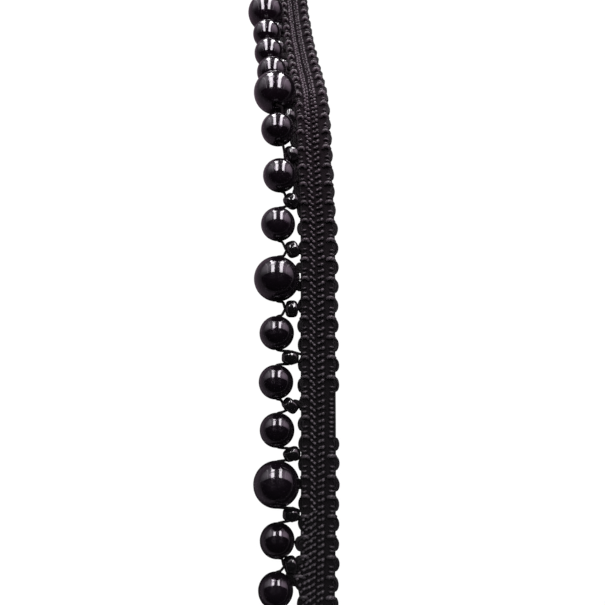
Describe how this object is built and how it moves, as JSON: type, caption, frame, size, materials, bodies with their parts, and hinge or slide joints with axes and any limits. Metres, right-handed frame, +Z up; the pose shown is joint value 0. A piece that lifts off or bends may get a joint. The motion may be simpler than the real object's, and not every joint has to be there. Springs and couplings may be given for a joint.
{
  "type": "beaded braid trim",
  "caption": "Cut length of narrow black ribbed gimp braid with picot edges, lying in a soft hump, with glossy dark round beads and seed beads strung along one edge",
  "frame": {"origin": "under the middle of the piece's box, on the surface it lies on", "axes": "+X across the braid from the bead chain to the plain edge, +Y along the braid, +Z up from the surface"},
  "size_m": [0.0199, 0.1846, 0.0271],
  "materials": {
    "braid": "matt black knitted yarn with a faint sheen on the stitch crests",
    "pearl": "high gloss near-black pearl lacquer with a faint plum cast",
    "seed": "opaque black glass, fire polished"
  },
  "bodies": {
    "root": {"braid": "braid", "pearl_small_1": "pearl", "pearl_large_2": "pearl", "pearl_small_3": "pearl", "pearl_small_4": "pearl", "pearl_small_5": "pearl", "pearl_large_6": "pearl", "pearl_small_7": "pearl", "pearl_small_8": "pearl", "pearl_small_9": "pearl", "pearl_large_10": "pearl", "pearl_small_11": "pearl", "pearl_small_12": "pearl", "pearl_small_13": "pearl", "pearl_large_14": "pearl", "pearl_small_15": "pearl", "pearl_small_16": "pearl", "pearl_small_17": "pearl", "pearl_large_18": "pearl", "pearl_small_19": "pearl", "pearl_small_20": "pearl", "pearl_small_21": "pearl", "seed_bead_1": "seed", "seed_bead_2": "seed", "seed_bead_3": "seed", "seed_bead_4": "seed", "seed_bead_5": "seed", "seed_bead_6": "seed", "seed_bead_7": "seed", "seed_bead_8": "seed", "seed_bead_9": "seed", "seed_bead_10": "seed", "seed_bead_11": "seed", "seed_bead_12": "seed", "seed_bead_13": "seed", "seed_bead_14": "seed", "seed_bead_15": "seed", "seed_bead_16": "seed", "seed_bead_17": "seed", "seed_bead_18": "seed", "seed_bead_19": "seed", "seed_bead_20": "seed", "seed_bead_21": "seed", "seed_bead_22": "seed"}
  },
  "joints": []
}
